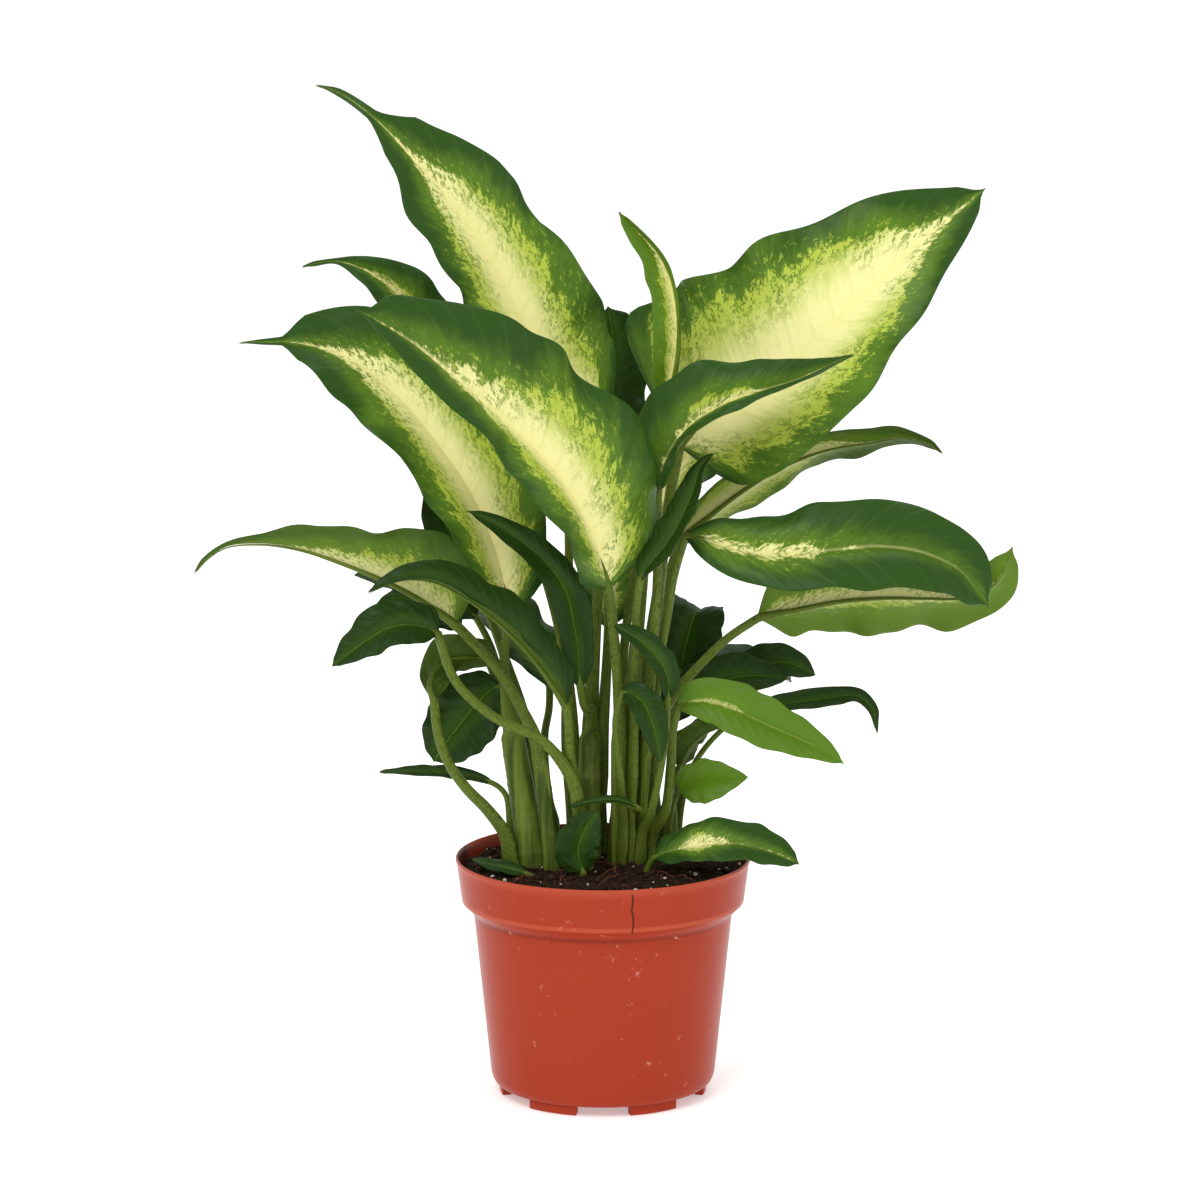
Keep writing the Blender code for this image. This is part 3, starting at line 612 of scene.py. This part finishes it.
def make_blade(sections, finish, seed, sizes):
    """Points, faces and surface places of the thin blade, closed round its margin."""
    middle = sections[-BLADE_RINGS:].mean(1)
    rows, columns = sizes.blade_rows, sizes.blade_columns
    s = np.linspace(0.0, 1.0, rows + 1) ** 0.92
    rib, left, right = (smooth_through(BLADE_STATIONS, middle[:, i], s) for i in (2, 0, 4))
    ahead = unit(np.gradient(rib, s, axis=0))
    side = unit(right - left)
    normal = unit(np.cross(side, ahead))
    length = np.linalg.norm(np.diff(rib, axis=0), axis=1).sum()
    taper = np.minimum(1.0, (1.0 - s) / 0.05)
    u = np.sin(np.linspace(-1.0, 1.0, columns + 1) * math.pi / 2 * 0.8) / math.sin(math.pi / 2 * 0.8)
    rand = random.Random(seed)
    phase = [rand.uniform(0, math.tau) for _ in range(6)]
    waves = rand.uniform(2.4, 3.4)
    grid = np.zeros((rows + 1, columns + 1, 3))
    half_thick = sizes.blade_thickness / 2
    for j, place in enumerate(u):
        away = abs(place)
        margin = (left if place < 0 else right) - rib
        shape = finish.get("left" if place < 0 else "right", ((0.0, 1.0), (1.0, 1.0)))
        margin = margin * np.interp(s, *zip(*shape))[:, None]
        wide = np.linalg.norm(margin, axis=1) * taper
        k = 0 if place < 0 else 1
        wobble = 1.0 + 0.035 * np.sin(math.tau * waves * 1.7 * s + phase[k]) * away ** 3
        point = rib + margin * (taper * wobble)[:, None] * away
        bulge = wide * finish["arch"] * math.sin(math.pi * away ** 0.9)
        ruffle = wide * finish["ruffle"] * 2.2 * away ** 2.6 * np.sin(math.tau * waves * s + phase[2 + k])
        ripple = np.sin(math.tau * waves * 2.3 * s + phase[4 + k])
        ruffle += wide * finish["ruffle"] * 0.9 * away ** 3.0 * ripple
        veins = np.cos(math.tau * (s * length / sizes.vein_pitch - away * VEIN_SLANT)) * away * (1 - away) * 4
        veins = -np.abs(veins) ** 0.7 * np.sign(veins) * sizes.vein_height * np.minimum(1.0, wide / 0.012)
        groove = np.exp(-(away * wide / 0.0014) ** 2) * 0.0004 * np.minimum(1.0, wide / 0.012)
        fade = np.minimum(1.0, s / 0.08) * np.minimum(1.0, (1.0 - s) / 0.06)
        grid[:, j] = point + normal * ((bulge + ruffle * fade + veins - groove)[:, None])
    points, lay, upper, lower = [], [], {}, {}
    for i in range(rows + 1):
        for j in range(columns + 1):
            rim = i in (0, rows) or j in (0, columns)
            for sign, table in ((1, upper), (-1, lower)):
                if rim and sign < 0:
                    table[i, j] = upper[i, j]
                    continue
                table[i, j] = len(points)
                points.append(grid[i, j] + normal[i] * (0.0 if rim else sign * half_thick))
                lay.append((u[j], s[i], 0.0 if rim else float(sign)))
    faces = []
    for i in range(rows):
        for j in range(columns):
            faces.append((upper[i, j], upper[i, j + 1], upper[i + 1, j + 1], upper[i + 1, j]))
            faces.append((lower[i, j], lower[i + 1, j], lower[i + 1, j + 1], lower[i, j + 1]))
    return points, faces, lay, (rib, side, normal, s)


def cane_foot(point):
    """Where a sheath that clasps the nearest cane at this point comes out of the soil."""
    best = None
    for node in CANES:
        points = np.array([v.co[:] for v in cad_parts[node].data.vertices])
        low = points[points[:, 2] < points[:, 2].min() + 0.002].mean(0)
        high = points[points[:, 2] > points[:, 2].max() - 0.002].mean(0)
        axis = low + (high - low) * np.clip((point[2] - low[2]) / (high[2] - low[2]), 0, 1)
        gap = np.linalg.norm((point - axis)[:2])
        if best is None or gap < best[0]:
            best = (gap, low + (point - axis) * 0.85)
    foot = best[1]
    foot[2] = SOIL_Z - 0.001
    return foot


def make_stalk(sections, spine, sizes, around=14):
    """The stalk, broad and flat where it sheaths the cane, running on as a raised rib under the blade."""
    rib, side, normal, s = spine
    stalk_rings = len(sections) - BLADE_RINGS
    low = sections[:stalk_rings + 1]
    centre = low.mean((1, 2))
    across = unit(low[:, :, 4].mean(1) - low[:, :, 0].mean(1))
    thick = np.linalg.norm(low[:stalk_rings] - centre[:stalk_rings, None, None], axis=3).mean((1, 2))
    thick = np.append(thick, thick[-1])
    t = np.linspace(0.0, stalk_rings, STALK_ROWS, endpoint=False)
    knots = np.arange(stalk_rings + 1)
    path, flat = smooth_through(knots, centre, t), smooth_through(knots, across, t)
    radius = np.interp(t, knots, thick)
    share = t / stalk_rings
    sheath = np.clip(1.0 - share / 0.5, 0.0, 1.0)
    wide = radius * (1.0 + 0.75 * sheath)
    deep = radius * (1.0 - 0.15 * sheath)
    # a stalk that starts up a cane goes on down to the soil as a sheath round that cane
    drop = path[0][2] - SOIL_Z
    if drop > 0.003:
        down = np.linspace(0.0, 1.0, SHEATH_ROWS, endpoint=False)[:, None]
        foot = cane_foot(path[0])
        path = np.vstack([foot + (path[0] - foot) * down, path])
        flat = np.vstack([np.repeat(flat[:1], SHEATH_ROWS, 0), flat])
        grow = 0.55 + 0.45 * down[:, 0]
        wide = np.concatenate([wide[0] * grow, wide])
        deep = np.concatenate([deep[0] * grow, deep])
        share = np.concatenate([np.zeros(SHEATH_ROWS), share])
    pick = np.arange(0, len(s), 2)
    run = radius[-1] * sizes.rib_radius * (1.0 - s[pick]) ** 1.1 + 0.00012
    blend = np.minimum(1.0, s[pick] / 0.12)
    thickness = run * blend + radius[-1] * (1.0 - blend)
    path = np.vstack([path, rib[pick] - normal[pick] * ((thickness + 0.0006) * blend)[:, None]])
    flat = np.vstack([flat, side[pick]])
    wide, deep = np.append(wide, thickness), np.append(deep, thickness)
    ahead = unit(np.gradient(path, axis=0))
    flat = unit(flat - ahead * (flat * ahead).sum(1, keepdims=True))
    up = np.cross(flat, ahead)
    places = np.concatenate([share, np.ones(len(pick))])
    points, lay, faces = [], [], []
    count = len(path)
    for i in range(count):
        for k in range(around):
            angle = math.tau * k / around
            points.append(path[i] + flat[i] * wide[i] * math.cos(angle) + up[i] * deep[i] * math.sin(angle))
            lay.append((5.0 + math.cos(angle) * 0.5, places[i] * 3.0 + i * 0.01, 0.0))
    for i in range(count - 1):
        for k in range(around):
            n = (k + 1) % around
            faces.append((i * around + k, i * around + n, (i + 1) * around + n, (i + 1) * around + k))
    faces.append(tuple(range(around))[::-1])
    faces.append(tuple((count - 1) * around + k for k in range(around)))
    return points, faces, lay


def make_leaf(node, index, sizes, colours):
    finish = LEAF_FINISH.get(node, PLAIN_FINISH)
    sections = cross_sections(node)
    points, faces, lay, spine = make_blade(sections, finish, index + 11, sizes)
    more, more_faces, more_lay = make_stalk(sections, spine, sizes)
    shift = len(points)
    faces += [tuple(v + shift for v in face) for face in more_faces]
    obj = mesh_object(node + "_leaf", points + more, faces)
    fresh()
    obj.select_set(True)
    bpy.context.view_layer.objects.active = obj
    attribute = obj.data.attributes.new("lay", "FLOAT_VECTOR", "POINT")
    attribute.data.foreach_set("vector", np.array(lay + more_lay, np.float32).ravel())
    bpy.ops.object.mode_set(mode="EDIT")
    bpy.ops.mesh.select_all(action="SELECT")
    bpy.ops.mesh.normals_make_consistent(inside=False)
    bpy.ops.object.mode_set(mode="OBJECT")
    soften(obj, 60)
    material = leaf_material(node + "_skin", finish, index * 7.3, colours)
    return adopt(obj, node + "_leaf", material, "leaf_skin", node)


# ---------------------------------------------------------------- pieces
class PLANT_OT_pot(bpy.types.Operator):
    """Turns the pot with its rolled rim, and spins the feet under it"""
    bl_idname = "plant.pot"
    bl_label = "Pot"

    def execute(self, context):
        sizes, colours = context.scene.plant_sizes, context.scene.plant_colours
        w, r, top = sizes.wall, RIM_RADIUS, RIM_Z
        profile = [
            (0.0004, 0.0052), (r * 0.60, 0.0052), (r * 0.700, 0.0056), (r * 0.735, 0.0075),
            (r * 0.752, 0.0100), (r * 0.860, 0.0740), (r * 0.864, 0.0760), (r * 0.932, BAND_Z),
            (r * 0.940, 0.0830), (r - w - 0.0006, top - 0.0020), (r - w - 0.0001, top - 0.0006),
            (r - w + 0.0003, top - 0.0001), (r - 0.0004, top), (r - 0.00005, top - 0.0004),
            (r, top - 0.0010), (r - 0.0003, top - 0.0017), (r - 0.0005, top - 0.0024),
            (r * 0.9600, BAND_Z), (r * 0.9585, 0.0803), (r * 0.9550, 0.0799), (r * 0.9480, 0.0797),
            (r * 0.8850, SHOULDER_Z), (r * 0.8780, 0.0749), (r * 0.8755, 0.0738), (r * 0.7660, 0.0105),
            (r * 0.7630, 0.0088), (r * 0.7560, 0.0070), (r * 0.7420, 0.0052), (r * 0.7250, 0.0042),
            (r * 0.7080, 0.0040), (r * 0.6400, 0.0040), (r * 0.6300, 0.0043), (0.0004, 0.0043),
        ]
        pot = turned("pot_shell", profile, sizes.pot_steps)
        parts = [pot]
        outer, inner, foot_z = r * 0.706, r * 0.640, 0.0046
        for index in range(FOOT_COUNT):
            fresh()
            middle = -math.pi / 2 + math.tau / FOOT_COUNT * (index + 0.5)
            bpy.ops.mesh.primitive_plane_add(size=1.0, rotation=(math.pi / 2, 0.0, 0.0))
            foot = bpy.context.object
            foot.scale = (outer - inner, foot_z, 1.0)
            foot.location = ((outer + inner) / 2, 0.0, foot_z / 2)
            bpy.ops.object.transform_apply(location=True, rotation=True, scale=True)
            foot.rotation_euler = (0.0, 0.0, middle + FOOT_ARC / 2)    # spin turns it clockwise
            bpy.ops.object.transform_apply(location=True, rotation=True, scale=True)
            bpy.ops.object.mode_set(mode="EDIT")
            bpy.ops.mesh.select_all(action="SELECT")
            bpy.ops.mesh.spin(steps=10, angle=FOOT_ARC, center=(0, 0, 0), axis=(0, 0, 1))
            bpy.ops.mesh.select_all(action="SELECT")
            bpy.ops.mesh.remove_doubles(threshold=0.00001)
            bpy.ops.mesh.normals_make_consistent(inside=False)
            bpy.ops.object.mode_set(mode="OBJECT")
            round_off = foot.modifiers.new("edge", "BEVEL")
            round_off.width, round_off.segments = 0.0006, 2
            bpy.ops.object.modifier_apply(modifier="edge")
            parts.append(foot)
        fresh()
        for part in parts:
            part.select_set(True)
        bpy.context.view_layer.objects.active = pot
        bpy.ops.object.join()
        soften(pot, 24)
        adopt(pot, "pot_moulded", plastic_material(colours), "pot_plastic", "pot")
        return {"FINISHED"}


class PLANT_OT_soil(bpy.types.Operator):
    """Fills the pot with crumbly soil, white grains and loose fibres"""
    bl_idname = "plant.soil"
    bl_label = "Soil"

    def execute(self, context):
        sizes, colours = context.scene.plant_sizes, context.scene.plant_colours
        reach = RIM_RADIUS - sizes.wall - 0.0022

        def height(x, y):
            away = min(1.0, math.hypot(x, y) / reach)
            lumps = noise.fractal(Vector((x, y, 0.3)) * 160.0, 0.8, 2.0, 5)
            return SOIL_Z + sizes.mound * (1 - away ** 2) + lumps * 0.0016 + 0.0016

        rings, spokes = 44, 132
        profile = [
            (reach * 0.74, 0.0065), (reach * 0.90, 0.0760), (reach * 0.985, 0.0835), (reach, SOIL_Z - 0.002),
        ]
        profile += [(reach * (1 - i / rings), SOIL_Z - 0.001) for i in range(1, rings)]
        soil = turned("soil_fill", profile, spokes)
        for vertex in soil.data.vertices:
            if vertex.co.z > SOIL_Z - 0.0015:
                vertex.co.z = height(vertex.co.x, vertex.co.y)
        soften(soil, 70)
        adopt(soil, "soil_fill", soil_material("potting_soil", colours.soil, (0.055, 0.030, 0.018), 0.0),
              "potting_soil", "soil")
        self.scatter("soil_crumbs", sizes.crumbs, 0.0007, 0.0021, 5, height, reach,
                     soil_material("soil_lumps", (0.024, 0.013, 0.008), (0.070, 0.036, 0.020), 60.0))
        self.scatter("soil_grains", sizes.grains, 0.0005, 0.0013, 6, height, reach,
                     soil_material("white_grains", (0.55, 0.50, 0.42), (0.80, 0.77, 0.70), 20.0))
        self.fibres(sizes.fibres, height, reach)
        return {"FINISHED"}

    def scatter(self, name, count, small, large, seed, height, reach, material):
        """Copies one rough lump over the soil."""
        fresh()
        bpy.ops.mesh.primitive_ico_sphere_add(subdivisions=1, radius=1.0)
        lump = bpy.context.object
        shape = np.array([v.co[:] for v in lump.data.vertices])
        corners = [tuple(p.vertices) for p in lump.data.polygons]
        bpy.data.objects.remove(lump)
        rand = random.Random(seed)
        points, faces = [], []
        for _ in range(count):
            away, turn = reach * 0.985 * math.sqrt(rand.random()), rand.uniform(0, math.tau)
            x, y = away * math.cos(turn), away * math.sin(turn)
            size = rand.uniform(small, large) * rand.uniform(0.5, 1.0)
            stretch = np.array([size * rand.uniform(0.6, 1.3), size * rand.uniform(0.6, 1.3), size * 0.7])
            spin = rand.uniform(0, math.tau)
            turned_shape = shape @ np.array([[math.cos(spin), math.sin(spin), 0],
                                             [-math.sin(spin), math.cos(spin), 0], [0, 0, 1]])
            centre = np.array([x, y, height(x, y) + size * 0.25])
            start = len(points)
            points += list(turned_shape * stretch + centre)
            faces += [tuple(start + c for c in corner) for corner in corners]
        adopt(mesh_object(name, points, faces), name, material, "potting_soil")

    def fibres(self, count, height, reach):
        """Loose brown fibres lying on the soil."""
        fresh()
        rand = random.Random(21)
        curve = bpy.data.curves.new("soil_fibres", "CURVE")
        curve.dimensions = "3D"
        curve.bevel_depth = 0.00022
        curve.bevel_resolution = 1
        curve.use_fill_caps = True
        for _ in range(count):
            away, turn = reach * 0.9 * math.sqrt(rand.random()), rand.uniform(0, math.tau)
            x, y = away * math.cos(turn), away * math.sin(turn)
            heading, length = rand.uniform(0, math.tau), rand.uniform(0.006, 0.017)
            bend = rand.uniform(-1.2, 1.2)
            strand = curve.splines.new("POLY")
            strand.points.add(7)
            for i, point in enumerate(strand.points):
                t = i / 7
                a = heading + bend * t
                px, py = x + math.cos(a) * length * t, y + math.sin(a) * length * t
                if math.hypot(px, py) > reach * 0.97:
                    px, py = px * 0.9, py * 0.9
                lift = math.sin(math.pi * t) * length * rand.uniform(0.05, 0.14)
                point.co = (px, py, height(px, py) + 0.0004 + lift, 1.0)
                point.radius = 1.0 - 0.5 * t
        obj = bpy.data.objects.new("soil_fibres", curve)
        bpy.context.scene.collection.objects.link(obj)
        obj.select_set(True)
        bpy.context.view_layer.objects.active = obj
        bpy.ops.object.convert(target="MESH")
        obj = bpy.context.object
        adopt(obj, "soil_fibres", soil_material("fibre_brown", (0.16, 0.055, 0.028), (0.30, 0.12, 0.06), 5.0),
              "potting_soil")


class PLANT_OT_canes(bpy.types.Operator):
    """Swells each cane at its foot and rings it with leaf scars"""
    bl_idname = "plant.canes"
    bl_label = "Canes"

    def execute(self, context):
        colours = context.scene.plant_colours
        material = cane_material(colours)
        for index, node in enumerate(CANES):
            points = np.array([v.co[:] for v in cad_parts[node].data.vertices])
            points = np.unique(np.round(points, 6), axis=0)
            points = points[np.argsort(points[:, 2])]
            foot, tip = points[:8], points[-8:]
            low, high = foot.mean(0), tip.mean(0)
            wide = np.linalg.norm(foot - low, axis=1).mean()
            thin = np.linalg.norm(tip - high, axis=1).mean()
            curve = bpy.data.curves.new(node, "CURVE")
            curve.dimensions = "3D"
            curve.bevel_depth = 1.0
            curve.bevel_resolution = 5
            curve.use_fill_caps = True
            strand = curve.splines.new("POLY")
            count = 60
            strand.points.add(count)
            bend = Vector((low[0], low[1], low[2] + 0.008))
            for i, point in enumerate(strand.points):
                t = i / count
                place = Vector(low).lerp(Vector(high), t)
                place = place.lerp(bend.lerp(Vector(high), t), 0.7 * math.sin(math.pi * t))
                radius = wide + (thin - wide) * t
                radius *= 1.0 + 0.10 * math.exp(-t * 14.0) - 0.35 * max(0.0, t - 0.94) / 0.06
                scar = (t * 4.3 + index * 0.37) % 1.0
                radius *= 1.0 + 0.05 * math.exp(-((scar - 0.5) / 0.05) ** 2)
                if i == 0:
                    place.z -= 0.0025
                point.co = (*place, 1.0)
                point.radius = radius
            obj = bpy.data.objects.new(node, curve)
            bpy.context.scene.collection.objects.link(obj)
            fresh()
            obj.select_set(True)
            bpy.context.view_layer.objects.active = obj
            bpy.ops.object.convert(target="MESH")
            obj = bpy.context.object
            bpy.ops.object.mode_set(mode="EDIT")
            bpy.ops.mesh.select_all(action="SELECT")
            bpy.ops.mesh.remove_doubles(threshold=0.00001)
            bpy.ops.mesh.normals_make_consistent(inside=False)
            bpy.ops.object.mode_set(mode="OBJECT")
            soften(obj, 50)
            adopt(obj, node + "_cane", material, "stem_skin", node)
        return {"FINISHED"}


class PLANT_OT_leaves(bpy.types.Operator):
    """Draws every leaf out from the cross-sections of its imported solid"""
    bl_idname = "plant.leaves"
    bl_label = "Leaves"

    def execute(self, context):
        for index, node in enumerate(LEAVES):
            make_leaf(node, index, context.scene.plant_sizes, context.scene.plant_colours)
        return {"FINISHED"}


class PLANT_OT_stage(bpy.types.Operator):
    """Lays the pale floor, hangs the soft lights and sets up the camera"""
    bl_idname = "plant.stage"
    bl_label = "Studio"

    def execute(self, context):
        scene = context.scene
        fresh()
        bpy.ops.mesh.primitive_plane_add(size=60.0, location=(0.0, 0.0, -0.0002))
        floor = context.object
        floor.name = "studio_floor"
        bpy.ops.object.transform_apply(location=True, rotation=True, scale=True)
        shop = Shop("studio_floor")
        floor.data.materials.append(shop.finish(
            scene.plant_colours.floor, 0.9, Specular_IOR_Level=0.1,
            Emission_Color=(1.0, 1.0, 1.0, 1.0), Emission_Strength=FLOOR_GLOW))
        height = packed_bounds[1].z - packed_bounds[0].z
        target = Vector((TARGET_X, 0.0, height * TARGET_SHARE))
        for name, place, size, power in LAMPS:
            lamp = bpy.data.lights.new(name, "AREA")
            lamp.energy, lamp.size = power, size
            obj = bpy.data.objects.new("light_" + name, lamp)
            obj.location = place
            obj.rotation_euler = (target - Vector(place)).to_track_quat("-Z", "Y").to_euler()
            scene.collection.objects.link(obj)
        world = bpy.data.worlds.new("studio")
        world.use_nodes = True
        world.node_tree.nodes["Background"].inputs[0].default_value = (1.0, 1.0, 1.0, 1.0)
        world.node_tree.nodes["Background"].inputs[1].default_value = WORLD_STRENGTH
        scene.world = world
        scene.view_settings.view_transform = "Standard"
        data = bpy.data.cameras.new("camera")
        data.sensor_width, data.lens, data.clip_end = 36.0, CAMERA_LENS, 100.0
        camera = bpy.data.objects.new("camera", data)
        back = Vector((0.0, -math.cos(CAMERA_PITCH), math.sin(CAMERA_PITCH)))
        camera.location = target + back * CAMERA_DISTANCE
        camera.rotation_euler = (-back).to_track_quat("-Z", "Y").to_euler()
        scene.collection.objects.link(camera)
        scene.camera = camera
        return {"FINISHED"}


class PLANT_PT_panel(bpy.types.Panel):
    """Lists the plant's steps and settings"""
    bl_idname = "PLANT_PT_panel"
    bl_label = "Potted dieffenbachia"
    bl_space_type = "VIEW_3D"
    bl_region_type = "UI"
    bl_category = "Plant"

    def draw(self, context):
        for step in STEPS:
            self.layout.operator(step.bl_idname)
        for group in (context.scene.plant_sizes, context.scene.plant_colours):
            for name in group.__annotations__:
                self.layout.prop(group, name)


STEPS = (PLANT_OT_pot, PLANT_OT_soil, PLANT_OT_canes, PLANT_OT_leaves, PLANT_OT_stage)
CLASSES = (PlantSizes, PlantColours, *STEPS, PLANT_PT_panel)


def register():
    for item in CLASSES:
        bpy.utils.register_class(item)
    bpy.types.Scene.plant_sizes = PointerProperty(type=PlantSizes)
    bpy.types.Scene.plant_colours = PointerProperty(type=PlantColours)


def unregister():
    del bpy.types.Scene.plant_colours
    del bpy.types.Scene.plant_sizes
    for item in reversed(CLASSES):
        bpy.utils.unregister_class(item)


def main():
    register()
    bpy.ops.plant.pot()
    bpy.ops.plant.soil()
    bpy.ops.plant.canes()
    bpy.ops.plant.leaves()
    bpy.ops.plant.stage()


if __name__ == "__main__":
    main()
